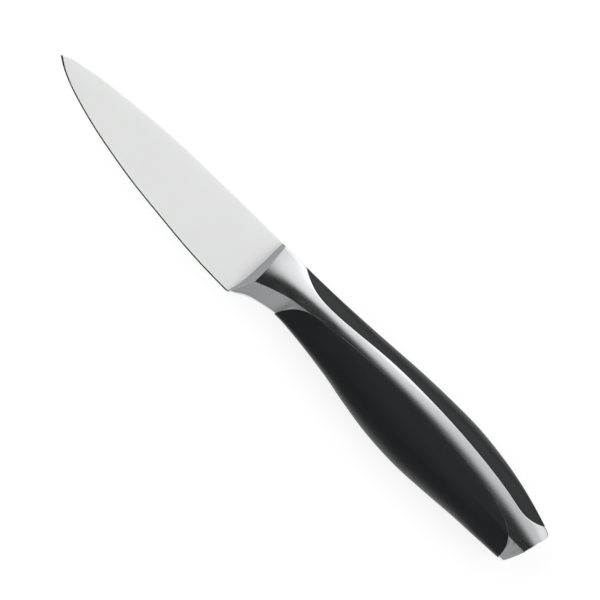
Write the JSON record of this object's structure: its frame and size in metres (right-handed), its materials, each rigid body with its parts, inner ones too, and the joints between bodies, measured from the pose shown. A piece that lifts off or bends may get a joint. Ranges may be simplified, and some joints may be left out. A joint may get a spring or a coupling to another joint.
{
  "type": "paring knife",
  "caption": "Paring knife with a flat-ground pointed blade, a steel bolster, side bands and end cap, and black moulded grip pieces along the spine and belly of the handle.",
  "frame": {"origin": "middle of the knife's length and height, at the lowest point of the handle as it lies on its right side", "axes": "+X from the tip to the butt, +Y from the cutting edge to the spine, +Z through the thickness, out of the left side"},
  "size_m": [0.2137, 0.027, 0.0175],
  "materials": {
    "blade_steel": "fine satin ground, with a bright bevel on each side of the edge",
    "frame_steel": "satin polished, welded and ground flush along the middle",
    "grip_plastic": "black moulded, fine matt grain",
    "core_plastic": "dark grey moulded, hidden",
    "pin_steel": "plain turned steel, hidden"
  },
  "bodies": {
    "root": {"blade": "blade_steel", "left_frame": "frame_steel", "right_frame": "frame_steel", "spine_grip": "grip_plastic", "belly_grip": "grip_plastic", "left_core": "core_plastic", "right_core": "core_plastic", "tang_pins": "pin_steel", "frame_dowels": "pin_steel"}
  },
  "joints": []
}
